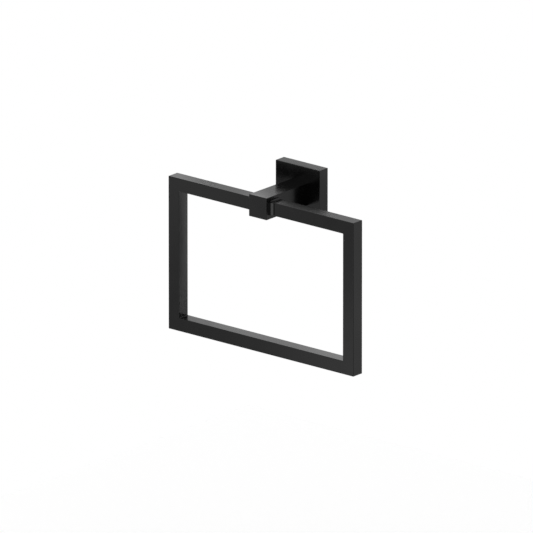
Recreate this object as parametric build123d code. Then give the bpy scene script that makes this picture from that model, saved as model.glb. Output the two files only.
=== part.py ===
from build123d import *
from math import radians, sqrt, tan
import os

# Towel ring: a loop of square bar, carried by a square post on a hollow wall cover.
# Millimetres. The origin is on the wall, on the post's axis. X runs along the wall,
# +Y runs into the wall and +Z is up, so the ring stands out from the wall towards -Y.

# Ring
ring_width = 210.0
ring_height = 140.0
bar_size = 12.0
ring_inner_radius = 0.5

# Rounding of the outside edges of ring, post and cover
edge_radius = 0.4

# Post
post_reach = 54.0  # from the cover's front to the post's tip
post_wall = 3.9  # beside the cross hole, above and below the bar
tip_wall = 3.9  # in front of the cross hole
bar_clearance = 0.1  # between the bar and each wall of the cross hole
cheek_reach = 5.4  # from the post's side along the front of the bar
cheek_lip = 0.3  # thickness of a cheek at its end
tenon_size = 12.0  # square tenon that keeps the post from turning
tenon_clearance = 0.1
tenon_shortfall = 0.2  # tenon stays inside the cover's wall, so that the washer clamps the wall

# Cover
cover_size = 50.0
cover_depth = 11.0
cover_wall = 2.0
cover_inner_radius = 1.0
rib_width = 24.0  # hook rib under the cover's top wall
rib_setback = 1.9  # from the wall to the rib
boss_height = 2.5  # thickening of the cover's bottom wall around its grub screw
boss_wall = 2.5  # beside the grub screw
boss_setback = 0.5  # from the wall to the boss

# Wall bracket
sheet = 1.2
bend_radius = 0.5  # inside of each bend
bracket_side_gap = 5.0  # between the bracket and the cover's side walls
flange_end_gap = 1.5  # between the bracket's flanges and the cover's front wall
lip_height = 2.0  # upturned lip that the cover's rib hooks behind
lip_top_gap = 1.0
hook_gap = 0.3  # between the rib and the lip
lift_gap = 3.0  # room to lift the cover off the hook
sheet_corner_radius = 1.0
slot_length = 9.0
slot_width = 5.0
slot_margin = 2.5  # between a slot and the bracket's side

# Screws and washer
screw_clearance = 0.05  # between a screw and its hole, on the radius
post_screw_radius = 3.0
post_screw_head_radius = 5.0
post_screw_head_gap = 1.3  # between the screw's head and the bracket
post_screw_grip = 12.0  # length of screw inside the post
post_screw_socket = 4.0  # across flats
post_screw_socket_depth = 2.4
tap_runout = 2.0  # tapped hole beyond the screw's tip
drill_point_angle = 59.0  # half the angle of a drill's point
washer_thickness = 1.5
washer_lap = 0.4  # washer beyond the corners of the tenon's hole
washer_clearance = 0.2
grub_radius = 2.0
grub_socket = 2.0  # across flats
grub_socket_depth = 1.8
grub_recess = 0.4  # a grub screw's end lies this far inside the surface
cone_seat_radius = 1.0  # hole in the bracket's lower flange that the cone point seats in
cone_point_radius = 0.2  # blunted tip of the cone
cone_clearance = 0.05
screw_chamfer = 0.4

# Distances from the wall, towards the room
cover_floor = cover_depth - cover_wall
post_tip = cover_depth + post_reach
hole_size = bar_size + 2 * bar_clearance
hole_front = post_tip - tip_wall
bar_front = hole_front - bar_clearance
bar_back = bar_front - bar_size
bar_middle = bar_front - bar_size / 2
cheek_front = post_tip - edge_radius
flange_depth = cover_floor - flange_end_gap
lip_face = flange_depth - sheet
rib_front = lip_face - hook_gap
washer_back = cover_floor - washer_thickness
head_back = sheet + post_screw_head_gap
post_screw_tip = cover_depth + post_screw_grip
tenon_end = cover_floor + tenon_shortfall
bend_outer = bend_radius + sheet
grub_depth = (bend_outer + flange_depth) / 2

# Heights and widths
post_size = hole_size + 2 * post_wall
ring_top = hole_size / 2
bar_underside = ring_top - bar_size
bar_level = ring_top - bar_size / 2
cheek_end = post_size / 2 + cheek_reach
cover_inner = cover_size / 2 - cover_wall
flange_top = cover_inner - lip_top_gap - lip_height
boss_top = boss_height - cover_inner
flange_underside = boss_top + lift_gap
bracket_width = 2 * (cover_inner - bracket_side_gap)
slot_spacing = bracket_width - 2 * slot_margin - slot_length
tenon_hole = tenon_size + 2 * tenon_clearance
washer_radius = tenon_hole / sqrt(2) + washer_lap
grub_hole_radius = grub_radius + screw_clearance


def depth_plane(depth):
    """Plane parallel to the wall, that far out from it, facing the room."""
    return Plane.XZ.offset(depth)


def make_ring_frame():
    """Closed rectangular loop of square bar. Its top bar lies in the post's cross hole."""
    window_width = ring_width - 2 * bar_size
    window_height = ring_height - 2 * bar_size
    with BuildPart() as ring:
        with BuildSketch(depth_plane(bar_back)):
            with Locations((0, ring_top - ring_height / 2)):
                Rectangle(ring_width, ring_height)
                RectangleRounded(window_width, window_height, ring_inner_radius, mode=Mode.SUBTRACT)
        extrude(amount=bar_size)
        face_edges = ring.faces().filter_by(Axis.Y).edges()
        outer_corners = ring.edges().filter_by(Axis.Y).filter_by(
            lambda edge: abs(edge.center().X) > window_width / 2 + bar_size / 2
        )
        fillet(face_edges + outer_corners, edge_radius)
    return ring.part


def make_post():
    """Square post: cross hole and cheeks near its tip, tenon and tapped hole at the wall end."""
    tap_radius = post_screw_radius + screw_clearance
    tap_end = post_screw_tip + tap_runout
    tap_point = tap_end + tap_radius / tan(radians(drill_point_angle))
    with BuildPart() as post:
        with BuildSketch(depth_plane(cover_depth)):
            Rectangle(post_size, post_size)
        extrude(amount=post_reach)
        seat_edges = post.edges().group_by(Axis.Y)[-1]
        fillet(post.edges() - seat_edges, edge_radius)
        # Tenon in the cover's front wall
        with BuildSketch(depth_plane(cover_depth)):
            Rectangle(tenon_size, tenon_size)
        extrude(amount=tenon_end - cover_depth)
        # Cheeks: the wall in front of the bar sweeps out along it in a hollow curve, on both sides
        with BuildSketch(Plane.XY.offset(bar_level)):
            with BuildLine():
                Polyline(
                    (post_size / 2, -cheek_front),
                    (0, -cheek_front),
                    (0, -hole_front),
                    (cheek_end, -hole_front),
                    (cheek_end, -hole_front - cheek_lip),
                )
                EllipticalCenterArc(
                    (cheek_end, -cheek_front),
                    cheek_reach,
                    cheek_front - hole_front - cheek_lip,
                    start_angle=90,
                    arc_size=90,
                )
            make_face()
            mirror(about=Plane.YZ)
        extrude(amount=bar_size / 2 - edge_radius, both=True)
        # Cross hole for the ring's bar
        with BuildSketch(Plane.YZ):
            with Locations((hole_size / 2 - hole_front, 0)):
                Rectangle(hole_size, hole_size)
        extrude(amount=post_size, both=True, mode=Mode.SUBTRACT)
        # Tapped hole for the post screw, ending in a drill point
        with BuildSketch(Plane.XY):
            with BuildLine():
                Polyline(
                    (0, -tenon_end),
                    (tap_radius, -tenon_end),
                    (tap_radius, -tap_end),
                    (0, -tap_point),
                    close=True,
                )
            make_face()
        revolve(axis=Axis.Y, mode=Mode.SUBTRACT)
        # Tapped hole for the grub screw under the bar
        with BuildSketch(Plane.XY):
            with Locations((0, -bar_middle)):
                Circle(grub_hole_radius)
        extrude(amount=-post_size, mode=Mode.SUBTRACT)
    return post.part


def make_cover():
    """Hollow square cover, open at the back, with a hook rib above and a screw boss below."""
    rib_chamfer = bend_radius + hook_gap
    boss_width = 2 * (grub_hole_radius + boss_wall)
    inside_wall = cover_inner + cover_wall / 2
    with BuildPart() as cover:
        with BuildSketch(depth_plane(0)):
            Rectangle(cover_size, cover_size)
        extrude(amount=cover_depth)
        offset(amount=-cover_wall, openings=cover.faces().sort_by(Axis.Y)[-1])
        inner_corners = cover.edges().filter_by(Axis.Y).filter_by(
            lambda edge: abs(edge.center().X) < inside_wall
        )
        fillet(inner_corners, cover_inner_radius)
        front_edges = cover.faces().sort_by(Axis.Y)[0].edges()
        outer_corners = cover.edges().filter_by(Axis.Y).filter_by(
            lambda edge: abs(edge.center().X) > inside_wall
        )
        fillet(front_edges + outer_corners, edge_radius)
        # Hook rib
        with BuildSketch(Plane.YZ):
            with BuildLine():
                Polyline(
                    (-rib_setback, inside_wall),
                    (-rib_setback, flange_top),
                    (rib_chamfer - rib_front, flange_top),
                    (-rib_front, flange_top + rib_chamfer),
                    (-rib_front, inside_wall),
                    close=True,
                )
            make_face()
        extrude(amount=rib_width / 2, both=True)
        # Boss for the grub screw, out to the front wall
        with BuildSketch(Plane.YZ):
            with BuildLine():
                Polyline(
                    (-boss_setback, -inside_wall),
                    (-boss_setback, boss_top),
                    (-cover_floor - cover_wall / 2, boss_top),
                    (-cover_floor - cover_wall / 2, -inside_wall),
                    close=True,
                )
            make_face()
        extrude(amount=boss_width / 2, both=True)
        # Tapped hole through the bottom wall and boss
        with BuildSketch(Plane.XY.offset(-cover_size / 2)):
            with Locations((0, -grub_depth)):
                Circle(grub_hole_radius)
        extrude(amount=cover_wall + boss_height, mode=Mode.SUBTRACT)
        # Square hole for the post's tenon
        with BuildSketch(depth_plane(cover_floor)):
            Rectangle(tenon_hole, tenon_hole)
        extrude(amount=cover_wall, mode=Mode.SUBTRACT)
    return cover.part


def make_wall_bracket():
    """Folded sheet: base on the wall, top flange with an upturned lip, bottom flange."""
    with BuildPart() as bracket:
        with BuildSketch(Plane.YZ):
            with BuildLine():
                fold = FilletPolyline(
                    (-lip_face, flange_top + lip_height),
                    (-lip_face, flange_top),
                    (0, flange_top),
                    (0, flange_underside),
                    (-flange_depth, flange_underside),
                    radius=[bend_radius, bend_outer, bend_outer],
                )
                offset(fold, amount=sheet, side=Side.RIGHT)
            make_face()
        extrude(amount=bracket_width / 2, both=True)
        lip_corners = bracket.edges().filter_by(Axis.Y).group_by(Axis.Z)[-1]
        flange_corners = bracket.edges().filter_by(Axis.Z).group_by(Axis.Y)[0]
        fillet(lip_corners + flange_corners, sheet_corner_radius)
        # Slots for the wall screws
        with BuildSketch(depth_plane(0)):
            with GridLocations(slot_spacing, 0, 2, 1):
                SlotOverall(slot_length, slot_width)
        extrude(amount=sheet, mode=Mode.SUBTRACT)
        # Seat for the cover's cone-point screw
        with BuildSketch(Plane.XY.offset(flange_underside)):
            with Locations((0, -grub_depth)):
                Circle(cone_seat_radius)
        extrude(amount=sheet, mode=Mode.SUBTRACT)
    return bracket.part


def make_grub_screw(length, point_radius, point_length):
    """Grub screw standing on its hex-socket end at the origin, with its point up."""
    with BuildPart() as screw:
        with BuildSketch(Plane.XZ):
            with BuildLine():
                Polyline(
                    (0, 0),
                    (grub_radius - screw_chamfer, 0),
                    (grub_radius, screw_chamfer),
                    (grub_radius, length - point_length),
                    (point_radius, length),
                    (0, length),
                    close=True,
                )
            make_face()
        revolve(axis=Axis.Z)
        with BuildSketch(Plane.XY):
            RegularPolygon(grub_socket / 2, 6, major_radius=False)
        extrude(amount=grub_socket_depth, mode=Mode.SUBTRACT)
    return screw.part


def make_cover_set_screw():
    """Cone-point grub screw in the cover's underside, seated in the bracket's lower flange."""
    bottom = grub_recess - cover_size / 2
    top = flange_underside + cone_seat_radius - cone_point_radius - cone_clearance
    screw = make_grub_screw(top - bottom, cone_point_radius, grub_radius - cone_point_radius)
    return Pos(0, -grub_depth, bottom) * screw


def make_ring_set_screw():
    """Flat-point grub screw under the post, pressing the bar up against the hole's ceiling."""
    bottom = grub_recess - post_size / 2
    screw = make_grub_screw(bar_underside - bottom, grub_radius - screw_chamfer, screw_chamfer)
    return Pos(0, -bar_middle, bottom) * screw


def make_post_screw():
    """Low-headed socket screw from inside the cover into the post."""
    with BuildPart() as screw:
        with BuildSketch(Plane.XY):
            with BuildLine():
                Polyline(
                    (0, -head_back),
                    (post_screw_head_radius - screw_chamfer, -head_back),
                    (post_screw_head_radius, -head_back - screw_chamfer),
                    (post_screw_head_radius, -washer_back),
                    (post_screw_radius, -washer_back),
                    (post_screw_radius, screw_chamfer - post_screw_tip),
                    (post_screw_radius - screw_chamfer, -post_screw_tip),
                    (0, -post_screw_tip),
                    close=True,
                )
            make_face()
        revolve(axis=Axis.Y)
        with BuildSketch(depth_plane(head_back)):
            RegularPolygon(post_screw_socket / 2, 6, major_radius=False)
        extrude(amount=post_screw_socket_depth, mode=Mode.SUBTRACT)
    return screw.part


def make_post_washer():
    """Washer that spans the tenon's hole and clamps the cover's front wall."""
    with BuildPart() as washer:
        with BuildSketch(depth_plane(washer_back)):
            Circle(washer_radius)
            Circle(post_screw_radius + washer_clearance, mode=Mode.SUBTRACT)
        extrude(amount=washer_thickness)
    return washer.part


nodes = {
    "ring_frame": make_ring_frame(),
    "post": make_post(),
    "ring_set_screw": make_ring_set_screw(),
    "cover": make_cover(),
    "post_screw": make_post_screw(),
    "post_washer": make_post_washer(),
    "wall_bracket": make_wall_bracket(),
    "cover_set_screw": make_cover_set_screw(),
}

os.makedirs("parts", exist_ok=True)
for name, solid in nodes.items():
    export_step(solid, f"parts/{name}.step")
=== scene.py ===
import math

import bpy
from mathutils import Matrix, Vector


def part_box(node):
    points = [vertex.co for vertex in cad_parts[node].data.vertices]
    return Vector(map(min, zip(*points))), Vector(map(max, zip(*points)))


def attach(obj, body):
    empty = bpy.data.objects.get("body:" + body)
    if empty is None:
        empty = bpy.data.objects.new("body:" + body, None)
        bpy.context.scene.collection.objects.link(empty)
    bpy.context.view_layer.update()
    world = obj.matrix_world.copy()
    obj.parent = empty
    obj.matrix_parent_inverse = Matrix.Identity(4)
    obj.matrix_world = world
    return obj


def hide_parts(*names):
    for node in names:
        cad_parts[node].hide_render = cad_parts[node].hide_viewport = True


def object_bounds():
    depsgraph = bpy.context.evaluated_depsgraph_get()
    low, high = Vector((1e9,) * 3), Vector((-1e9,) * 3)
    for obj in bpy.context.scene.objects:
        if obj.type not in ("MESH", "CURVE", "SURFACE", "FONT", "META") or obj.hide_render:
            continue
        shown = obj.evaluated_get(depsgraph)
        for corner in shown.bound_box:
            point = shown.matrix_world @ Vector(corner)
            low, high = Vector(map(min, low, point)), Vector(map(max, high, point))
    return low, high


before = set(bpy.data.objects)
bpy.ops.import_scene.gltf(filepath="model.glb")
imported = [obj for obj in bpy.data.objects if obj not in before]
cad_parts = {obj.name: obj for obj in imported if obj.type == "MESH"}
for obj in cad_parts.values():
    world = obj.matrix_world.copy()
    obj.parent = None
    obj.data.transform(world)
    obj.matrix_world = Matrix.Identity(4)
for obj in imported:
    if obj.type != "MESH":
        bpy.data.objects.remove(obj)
cad_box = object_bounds()
ring_low, ring_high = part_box("ring_frame")
post_low, post_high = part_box("post")

MILLIMETRE = 0.001

# Photograph: a parallel view, so the camera stands far off behind a very long lens
IMAGE_PIXELS = 533
PIXELS_PER_METRE = 1150.9
VIEW_AZIMUTH = math.radians(40.0)
VIEW_ELEVATION = math.radians(18.0)
BAR_PIXEL = (260.64, 206.06)  # centre of the top bar's front face, on the post's axis
SENSOR_WIDTH = 36 * MILLIMETRE
LENS = 1600 * MILLIMETRE
CLIP_END = 100.0  # metres, well past the object

# Noise is centred on one half, and most of it lies between these values
NOISE_LOW = 0.3
NOISE_HIGH = 0.7
NOISE_DETAIL = 3.0  # octaves

# Black coating: satin, with a fine orange peel and slightly uneven gloss
COAT_DARK = (0.0008, 0.0008, 0.0008)
COAT_LIGHT = (0.0016, 0.0016, 0.0016)
COAT_ROUGHNESS = (0.18, 0.23)
COAT_IOR = 1.315
COAT_CLOUD_SIZE = 12 * MILLIMETRE
PEEL_SIZE = 0.9 * MILLIMETRE
PEEL_DETAIL = 2.0  # octaves
PEEL_DEPTH = 0.003 * MILLIMETRE

# Plated steel: zinc with a fine grain along x
ZINC_DARK = (0.44, 0.45, 0.47)
ZINC_LIGHT = (0.55, 0.56, 0.57)
ZINC_ROUGHNESS = (0.30, 0.42)
ZINC_CLOUD_SIZE = 6 * MILLIMETRE
GRAIN_SIZE = 0.5 * MILLIMETRE
GRAIN_STRETCH = (0.1, 1.0, 1.0)
GRAIN_DEPTH = 0.006 * MILLIMETRE

# Black steel: blackened and slightly mottled
BLACKENED_DARK = (0.03, 0.03, 0.03)
BLACKENED_LIGHT = (0.06, 0.06, 0.06)
BLACKENED_ROUGHNESS = (0.35, 0.5)
MOTTLE_SIZE = 0.6 * MILLIMETRE
MOTTLE_DEPTH = 0.004 * MILLIMETRE

# Screws: the sockets and diameters of the solids that they replace, with threads
SCREW_SIDES = 48
ROWS_PER_PITCH = 8
THREAD_DEPTH = 0.613  # of the pitch
CREST_FLAT = 0.125  # of the pitch
ROOT_FLAT = 0.25  # of the pitch
SCREW_CHAMFER = 0.4 * MILLIMETRE
DRILL_POINT = 0.5 * MILLIMETRE  # cone at the bottom of a hex socket
GRUB_PITCH = 0.7 * MILLIMETRE
GRUB_SOCKET = 2 * MILLIMETRE  # across flats
GRUB_SOCKET_DEPTH = 1.8 * MILLIMETRE
CONE_POINT_RADIUS = 0.2 * MILLIMETRE
POST_SCREW_PITCH = 1 * MILLIMETRE
POST_SCREW_RADIUS = 3 * MILLIMETRE
POST_SCREW_HEAD = 5 * MILLIMETRE  # height
POST_SCREW_SOCKET = 4 * MILLIMETRE  # across flats
POST_SCREW_SOCKET_DEPTH = 2.4 * MILLIMETRE

# Lips: rounded beads of the post, above and below the bar where it leaves the cross hole
LIP_REACH = 2.4 * MILLIMETRE  # along the bar
LIP_HEIGHT = 1.2 * MILLIMETRE
LIP_FADE = 4 * MILLIMETRE  # length over which a lip fades out towards the front
LIP_END = 0.3  # share of its section that is left at the front
LIP_STEPS = 8
LIP_ROOT = 0.05 * MILLIMETRE  # how far a lip's root goes into the post and past the hole's edge
BAR_EDGE = 0.4 * MILLIMETRE  # rounding of the bar's edges

# Edges of added pieces that turn by more than this stay sharp
SMOOTH_ANGLE = math.radians(30)

# Stage
WHITE = (1.0, 1.0, 1.0, 1.0)
STUDIO_STRENGTH = 1.0
FLOOR_DROP = 0.25  # metres below the loop
FLOOR_HALF_WIDTH = 0.4  # metres

# Reflection cards: middle, half width and half height in millimetres, core as a share of the oval,
# and gain as a share of the white studio
CARDS = {
    "shade_above_cover": ((-4, 1, 43), 36, 15, 0.7, -0.6),
    "shade_right_of_cover": ((45, 1, -12), 36, 45, 0.5, -0.22),
    "shade_top": ((-80, 60, 46), 140, 16, 0.6, -0.09),
    "shade_left_of_post": ((-36, -30, -1), 9, 9, 0.5, -0.4),
    "shade_inner_left": ((-76, -42, -57), 11, 72, 0.25, -0.5),
    "glow_top_left": ((-165, 1, 30), 60, 45, 0.2, 0.45),
    "glow_post_tip": ((-58, 1, 44), 26, 13, 0.5, 0.9),
    "glow_inner_left": ((25, 120, -118), 40, 85, 0.4, 1.4),
    "glow_low_left": ((-120, 60, -98), 95, 34, 0.2, 0.6),
    "glow_low_right": ((60, 1, -98), 110, 40, 0.2, 0.45),
    "glow_front_low": ((-179, -400, -272), 130, 110, 0.1, 0.8),
    "glow_front_high": ((-370, -400, -138), 140, 90, 0.1, 0.48),
}

# Studio patches: direction, angles in degrees at which the patch starts to fade and ends, and gain
# as a share of the white studio
PATCHES = {
    "dark_behind_camera": ((0.5, -0.6, -0.2), 30, 55, -0.75),
    "light_in_front": ((-0.17, -0.94, -0.31), 8, 20, 2.3),
    "dim_left": ((-0.61, -0.73, -0.31), 10, 22, -0.19),
    "dark_left": ((-0.95, -0.1, -0.31), 15, 35, -0.5),
}


# Materials

def new_material(name):
    """Node material with one Principled shader."""
    material = bpy.data.materials.new(name)
    material.use_nodes = True
    tree = material.node_tree
    return material, tree, tree.nodes["Principled BSDF"]


def noise_texture(tree, size, detail=NOISE_DETAIL, stretch=(1.0, 1.0, 1.0)):
    """Noise whose grains are about that size in metres, in the object's own coordinates."""
    coordinates = tree.nodes.new("ShaderNodeTexCoord")
    mapping = tree.nodes.new("ShaderNodeMapping")
    mapping.inputs["Scale"].default_value = stretch
    noise = tree.nodes.new("ShaderNodeTexNoise")
    noise.inputs["Scale"].default_value = 1.0 / size
    noise.inputs["Detail"].default_value = detail
    tree.links.new(coordinates.outputs["Object"], mapping.inputs["Vector"])
    tree.links.new(mapping.outputs["Vector"], noise.inputs["Vector"])
    return noise.outputs["Fac"]


def spread(tree, value, low, high):
    """Noise stretched to run between two values."""
    spreader = tree.nodes.new("ShaderNodeMapRange")
    spreader.inputs["From Min"].default_value = NOISE_LOW
    spreader.inputs["From Max"].default_value = NOISE_HIGH
    spreader.inputs["To Min"].default_value = low
    spreader.inputs["To Max"].default_value = high
    tree.links.new(value, spreader.inputs["Value"])
    return spreader.outputs["Result"]


def blend_colours(tree, value, dark, light):
    """Colour that runs from dark to light with the noise."""
    ramp = tree.nodes.new("ShaderNodeValToRGB")
    ramp.color_ramp.elements[0].position = NOISE_LOW
    ramp.color_ramp.elements[1].position = NOISE_HIGH
    ramp.color_ramp.elements[0].color = (*dark, 1.0)
    ramp.color_ramp.elements[1].color = (*light, 1.0)
    tree.links.new(value, ramp.inputs["Fac"])
    return ramp.outputs["Color"]


def add_bump(tree, shader, height, depth):
    """Small relief of that depth in metres."""
    bump = tree.nodes.new("ShaderNodeBump")
    bump.inputs["Strength"].default_value = 1.0
    bump.inputs["Distance"].default_value = depth
    tree.links.new(height, bump.inputs["Height"])
    tree.links.new(bump.outputs["Normal"], shader.inputs["Normal"])


def make_black_coating():
    """Satin black coat of the loop, the post and the cover."""
    material, tree, shader = new_material("black_coating")
    peel = noise_texture(tree, PEEL_SIZE, PEEL_DETAIL)
    cloud = noise_texture(tree, COAT_CLOUD_SIZE)
    colour = blend_colours(tree, cloud, COAT_DARK, COAT_LIGHT)
    tree.links.new(colour, shader.inputs["Base Color"])
    tree.links.new(spread(tree, cloud, *COAT_ROUGHNESS), shader.inputs["Roughness"])
    shader.inputs["IOR"].default_value = COAT_IOR
    add_bump(tree, shader, peel, PEEL_DEPTH)
    return material


def make_plated_steel():
    """Zinc-plated sheet and hardware."""
    material, tree, shader = new_material("plated_steel")
    grain = noise_texture(tree, GRAIN_SIZE, stretch=GRAIN_STRETCH)
    cloud = noise_texture(tree, ZINC_CLOUD_SIZE)
    colour = blend_colours(tree, cloud, ZINC_DARK, ZINC_LIGHT)
    tree.links.new(colour, shader.inputs["Base Color"])
    tree.links.new(spread(tree, grain, *ZINC_ROUGHNESS), shader.inputs["Roughness"])
    shader.inputs["Metallic"].default_value = 1.0
    add_bump(tree, shader, grain, GRAIN_DEPTH)
    return material


def make_black_steel():
    """Blackened steel of the grub screws."""
    material, tree, shader = new_material("black_steel")
    mottle = noise_texture(tree, MOTTLE_SIZE)
    colour = blend_colours(tree, mottle, BLACKENED_DARK, BLACKENED_LIGHT)
    tree.links.new(colour, shader.inputs["Base Color"])
    tree.links.new(spread(tree, mottle, *BLACKENED_ROUGHNESS), shader.inputs["Roughness"])
    shader.inputs["Metallic"].default_value = 1.0
    add_bump(tree, shader, mottle, MOTTLE_DEPTH)
    return material


# Pieces

def dress(node, material):
    """Give a solid its finish."""
    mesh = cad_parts[node].data
    mesh.materials.clear()
    mesh.materials.append(material)


def add_piece(name, vertices, faces, material):
    """Mesh piece of the object, smooth but for its sharp edges."""
    mesh = bpy.data.meshes.new(name)
    mesh.from_pydata(vertices, [], faces)
    mesh.polygons.foreach_set("use_smooth", [True] * len(mesh.polygons))
    mesh.set_sharp_from_angle(angle=SMOOTH_ANGLE)
    mesh.materials.append(material)
    piece = bpy.data.objects.new(name, mesh)
    bpy.context.scene.collection.objects.link(piece)
    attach(piece, "root")
    return piece


# Screws

def circle(radius):
    """Round ring: the same radius at any angle."""
    return lambda angle: radius


def hexagon(across_flats):
    """Six-sided ring, with a corner at angle 0."""
    side_angle = math.tau / 6
    return lambda angle: across_flats / 2 / math.cos(angle % side_angle - side_angle / 2)


def thread(height, pitch, crest, limit):
    """Ring through a thread at that height: its ridge climbs one pitch in a turn, inside a limit."""
    def radius(angle):
        place = (height / pitch - angle / math.tau) % 1.0
        rise = (abs(2 * place - 1) - ROOT_FLAT) / (1 - CREST_FLAT - ROOT_FLAT)
        groove = 1 - min(max(rise, 0.0), 1.0)
        return min(limit, crest - THREAD_DEPTH * pitch * groove)
    return radius


def socket_rings(across_flats, depth):
    """Rings of a hex socket, from its bottom out to the end face."""
    return [(depth, hexagon(across_flats)), (0.0, hexagon(across_flats))]


def thread_rings(start, end, pitch, crest, limit):
    """Rings of a threaded length; limit gives the largest radius at a height."""
    rows = math.ceil((end - start) / pitch * ROWS_PER_PITCH)
    heights = [start + (end - start) * row / rows for row in range(rows + 1)]
    return [(height, thread(height, pitch, crest, limit(height))) for height in heights]


def ring_stack(rings, start, end):
    """Closed skin through a stack of rings, from a start point to an end point on the axis."""
    vertices = [(0.0, 0.0, start)]
    for height, radius in rings:
        for side in range(SCREW_SIDES):
            angle = math.tau * side / SCREW_SIDES
            vertices.append((radius(angle) * math.cos(angle), radius(angle) * math.sin(angle), height))
    vertices.append((0.0, 0.0, end))
    faces = []
    last = len(vertices) - 1
    top = (len(rings) - 1) * SCREW_SIDES
    for side in range(SCREW_SIDES):
        here = 1 + side
        beside = 1 + (side + 1) % SCREW_SIDES
        faces.append((0, beside, here))
        for level in range(len(rings) - 1):
            low = level * SCREW_SIDES
            high = low + SCREW_SIDES
            faces.append((low + here, low + beside, high + beside, high + here))
        faces.append((top + here, top + beside, last))
    return vertices, faces


def add_screw(node, rings, start, end, place, material):
    """Threaded screw in place of a plain one."""
    vertices, faces = ring_stack(rings, start, end)
    vertices = [place @ Vector(vertex) for vertex in vertices]
    piece = add_piece(f"{node}_threaded", vertices, faces, material)
    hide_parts(node)


def add_grub_screw(node, point_radius, material):
    """Grub screw that stands on its socket end, with a cone or flat point up."""
    low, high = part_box(node)
    crest = (high.x - low.x) / 2
    length = high.z - low.z
    point_start = length - (crest - point_radius)

    def limit(height):
        return min(crest - SCREW_CHAMFER + height, crest, crest - (height - point_start))

    rings = socket_rings(GRUB_SOCKET, GRUB_SOCKET_DEPTH)
    rings += thread_rings(0.0, length, GRUB_PITCH, crest, limit)
    place = Matrix.Translation(((low.x + high.x) / 2, (low.y + high.y) / 2, low.z))
    add_screw(node, rings, GRUB_SOCKET_DEPTH + DRILL_POINT, length, place, material)


def add_post_screw(material):
    """Socket screw that runs out from the cover into the post."""
    low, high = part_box("post_screw")
    head_radius = (high.x - low.x) / 2
    length = high.y - low.y

    def limit(height):
        return min(POST_SCREW_RADIUS, POST_SCREW_RADIUS - SCREW_CHAMFER + length - height)

    rings = socket_rings(POST_SCREW_SOCKET, POST_SCREW_SOCKET_DEPTH)
    rings += [(0.0, circle(head_radius - SCREW_CHAMFER)), (SCREW_CHAMFER, circle(head_radius))]
    rings += [(POST_SCREW_HEAD, circle(head_radius)), (POST_SCREW_HEAD, circle(POST_SCREW_RADIUS))]
    rings += thread_rings(POST_SCREW_HEAD, length, POST_SCREW_PITCH, POST_SCREW_RADIUS, limit)
    turn_to_front = Matrix(((1, 0, 0), (0, 0, -1), (0, 1, 0))).to_4x4()
    place = Matrix.Translation(((low.x + high.x) / 2, high.y, (low.z + high.z) / 2)) @ turn_to_front
    start = POST_SCREW_SOCKET_DEPTH + DRILL_POINT
    add_screw("post_screw", rings, start, length, place, material)


# Lips

def lip_section(share):
    """Section of a lip beside the cross hole: distances from the post's side and the hole's edge."""
    reach = share * LIP_REACH
    height = share * LIP_HEIGHT
    section = [(-LIP_ROOT, height), (-LIP_ROOT, -LIP_ROOT), (reach, -LIP_ROOT)]
    for step in range(LIP_STEPS + 1):
        angle = math.pi / 2 * step / LIP_STEPS
        section.append((reach * math.cos(angle), height * math.sin(angle)))
    return section


def add_post_lips(material):
    """Lips above and below the bar, on both sides of the post."""
    post_side = (post_high.z - post_low.z) / 2
    hole_edge = ring_high.z  # the bar lies against the hole's ceiling
    front = ring_low.y + BAR_EDGE
    back = ring_high.y - BAR_EDGE
    stations = [(front, LIP_END), (front + LIP_FADE, 1.0), (back, 1.0)]
    count = len(lip_section(1.0))
    vertices = []
    faces = []
    for side, way in ((-1, -1), (-1, 1), (1, -1), (1, 1)):
        rows = []
        for y, share in stations:
            rows.append(range(len(vertices), len(vertices) + count))
            section = lip_section(share)
            vertices += [(side * (post_side + out), y, way * (hole_edge + up)) for out, up in section]
        lip = [tuple(rows[0]), tuple(reversed(rows[-1]))]
        for near, far in zip(rows, rows[1:]):
            lip += [(near[i - 1], far[i - 1], far[i], near[i]) for i in range(count)]
        faces += lip if side == way else [tuple(reversed(face)) for face in lip]
    add_piece("post_lips", vertices, faces, material)


# Stage

def add_floor():
    """Plain white floor, well below the hanging loop."""
    material, _, shader = new_material("floor_white")
    shader.inputs["Base Color"].default_value = WHITE
    shader.inputs["Roughness"].default_value = 1.0
    shader.inputs["Specular IOR Level"].default_value = 0.0
    height = cad_box[0][2] - FLOOR_DROP
    corners = ((-1, -1), (1, -1), (1, 1), (-1, 1))
    mesh = bpy.data.meshes.new("floor")
    vertices = [(x * FLOOR_HALF_WIDTH, y * FLOOR_HALF_WIDTH, height) for x, y in corners]
    mesh.from_pydata(vertices, [], [(0, 1, 2, 3)])
    mesh.materials.append(material)
    floor = bpy.data.objects.new("floor", mesh)
    bpy.context.scene.collection.objects.link(floor)


def soft_oval(tree, core, inside, outside):
    """Value that runs from inside to outside between an oval's core and its rim."""
    coordinates = tree.nodes.new("ShaderNodeTexCoord")
    radius = tree.nodes.new("ShaderNodeVectorMath")
    radius.operation = "LENGTH"
    tree.links.new(coordinates.outputs["Object"], radius.inputs[0])
    fade = tree.nodes.new("ShaderNodeMapRange")
    fade.interpolation_type = "SMOOTHSTEP"
    fade.inputs["From Min"].default_value = core
    fade.inputs["From Max"].default_value = 1.0
    fade.inputs["To Min"].default_value = inside
    fade.inputs["To Max"].default_value = outside
    tree.links.new(radius.outputs["Value"], fade.inputs["Value"])
    return fade.outputs["Result"]


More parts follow.
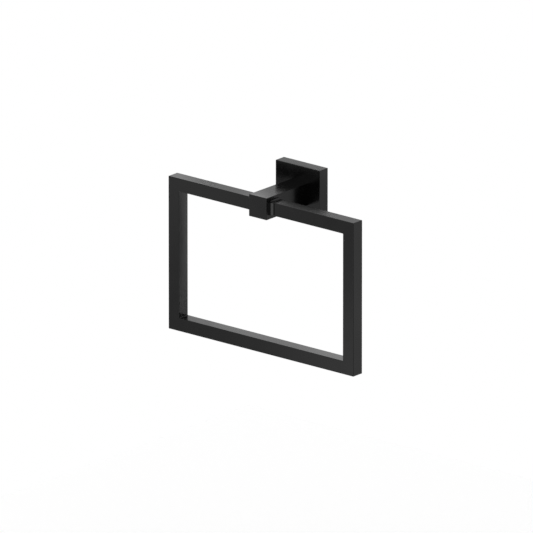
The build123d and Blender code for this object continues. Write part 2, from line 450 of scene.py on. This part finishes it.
def add_card(name, middle, half_width, half_height, core, gain):
    """Upright card that only reflections see: a soft oval that dims or lightens what is behind it."""
    material = bpy.data.materials.new(name)
    material.use_nodes = True
    tree = material.node_tree
    tree.nodes.clear()
    clear = tree.nodes.new("ShaderNodeBsdfTransparent")
    glow = tree.nodes.new("ShaderNodeEmission")
    both = tree.nodes.new("ShaderNodeAddShader")
    output = tree.nodes.new("ShaderNodeOutputMaterial")
    tree.links.new(soft_oval(tree, core, 1.0 + min(gain, 0.0), 1.0), clear.inputs["Color"])
    tree.links.new(soft_oval(tree, core, max(gain, 0.0), 0.0), glow.inputs["Strength"])
    tree.links.new(clear.outputs["BSDF"], both.inputs[0])
    tree.links.new(glow.outputs["Emission"], both.inputs[1])
    tree.links.new(both.outputs["Shader"], output.inputs["Surface"])
    mesh = bpy.data.meshes.new(name)
    mesh.from_pydata([(-1, 0, -1), (1, 0, -1), (1, 0, 1), (-1, 0, 1)], [], [(0, 1, 2, 3)])
    mesh.materials.append(material)
    card = bpy.data.objects.new(name, mesh)
    card.location = Vector(middle) * MILLIMETRE
    card.scale = (half_width * MILLIMETRE, 1.0, half_height * MILLIMETRE)
    card.visible_camera = False
    card.visible_diffuse = False
    card.visible_transmission = False
    card.visible_volume_scatter = False
    card.visible_shadow = False
    bpy.context.scene.collection.objects.link(card)


def world_patch(tree, direction, inner, outer, gain):
    """Soft round patch of the studio, brighter or darker by that gain in reflections only."""
    coordinates = tree.nodes.new("ShaderNodeTexCoord")
    facing = tree.nodes.new("ShaderNodeVectorMath")
    facing.operation = "DOT_PRODUCT"
    facing.inputs[1].default_value = Vector(direction).normalized()
    tree.links.new(coordinates.outputs["Generated"], facing.inputs[0])
    patch = tree.nodes.new("ShaderNodeMapRange")
    patch.interpolation_type = "SMOOTHSTEP"
    patch.inputs["From Min"].default_value = math.cos(math.radians(outer))
    patch.inputs["From Max"].default_value = math.cos(math.radians(inner))
    patch.inputs["To Max"].default_value = gain
    tree.links.new(facing.outputs["Value"], patch.inputs["Value"])
    path = tree.nodes.new("ShaderNodeLightPath")
    reflected = tree.nodes.new("ShaderNodeMath")
    reflected.operation = "MULTIPLY"
    tree.links.new(patch.outputs["Result"], reflected.inputs[0])
    tree.links.new(path.outputs["Is Glossy Ray"], reflected.inputs[1])
    return reflected.outputs["Value"]


def add_world():
    """White studio all round, with patches that are darker or lighter in reflections."""
    world = bpy.data.worlds.new("studio")
    world.use_nodes = True
    tree = world.node_tree
    background = tree.nodes["Background"]
    background.inputs["Color"].default_value = WHITE
    sums = []
    for patch in PATCHES.values():
        total = tree.nodes.new("ShaderNodeMath")
        total.operation = "ADD"
        total.inputs[0].default_value = STUDIO_STRENGTH
        tree.links.new(world_patch(tree, *patch), total.inputs[1])
        sums.append(total)
    # Each sum but the first goes on from the one before it
    for before, after in zip(sums, sums[1:]):
        tree.links.new(before.outputs["Value"], after.inputs[0])
    tree.links.new(sums[-1].outputs["Value"], background.inputs["Strength"])
    bpy.context.scene.world = world


def add_camera():
    """Long-lens camera at the photograph's angle and framing."""
    right = Vector((math.cos(VIEW_AZIMUTH), math.sin(VIEW_AZIMUTH), 0.0))
    back = Vector((
        math.sin(VIEW_AZIMUTH) * math.cos(VIEW_ELEVATION),
        -math.cos(VIEW_AZIMUTH) * math.cos(VIEW_ELEVATION),
        math.sin(VIEW_ELEVATION),
    ))
    up = back.cross(right)
    bar_side = ring_high.y - ring_low.y
    anchor = Vector(((post_low.x + post_high.x) / 2, ring_low.y, ring_high.z - bar_side / 2))
    middle = IMAGE_PIXELS / 2
    target = anchor + right * (middle - BAR_PIXEL[0]) / PIXELS_PER_METRE
    target = target - up * (middle - BAR_PIXEL[1]) / PIXELS_PER_METRE
    distance = IMAGE_PIXELS / PIXELS_PER_METRE * LENS / SENSOR_WIDTH
    data = bpy.data.cameras.new("camera")
    data.sensor_width = SENSOR_WIDTH / MILLIMETRE
    data.lens = LENS / MILLIMETRE
    data.clip_end = CLIP_END
    camera = bpy.data.objects.new("camera", data)
    axes = Matrix((right, up, back)).transposed().to_4x4()
    camera.matrix_world = Matrix.Translation(target + back * distance) @ axes
    bpy.context.scene.collection.objects.link(camera)
    bpy.context.scene.camera = camera


# The object: finishes for the solids, then the threaded screws and the lips
black_coating = make_black_coating()
plated_steel = make_plated_steel()
black_steel = make_black_steel()
for node in ("ring_frame", "post", "cover"):
    dress(node, black_coating)
for node in ("wall_bracket", "post_washer"):
    dress(node, plated_steel)
grub_low, grub_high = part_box("ring_set_screw")
flat_point_radius = (grub_high.x - grub_low.x) / 2 - SCREW_CHAMFER
add_grub_screw("ring_set_screw", flat_point_radius, black_steel)
add_grub_screw("cover_set_screw", CONE_POINT_RADIUS, black_steel)
add_post_screw(plated_steel)
add_post_lips(black_coating)

# The stage and the camera
add_floor()
add_world()
for name, card in CARDS.items():
    add_card(name, *card)
add_camera()
bpy.context.scene.view_settings.view_transform = "Standard"
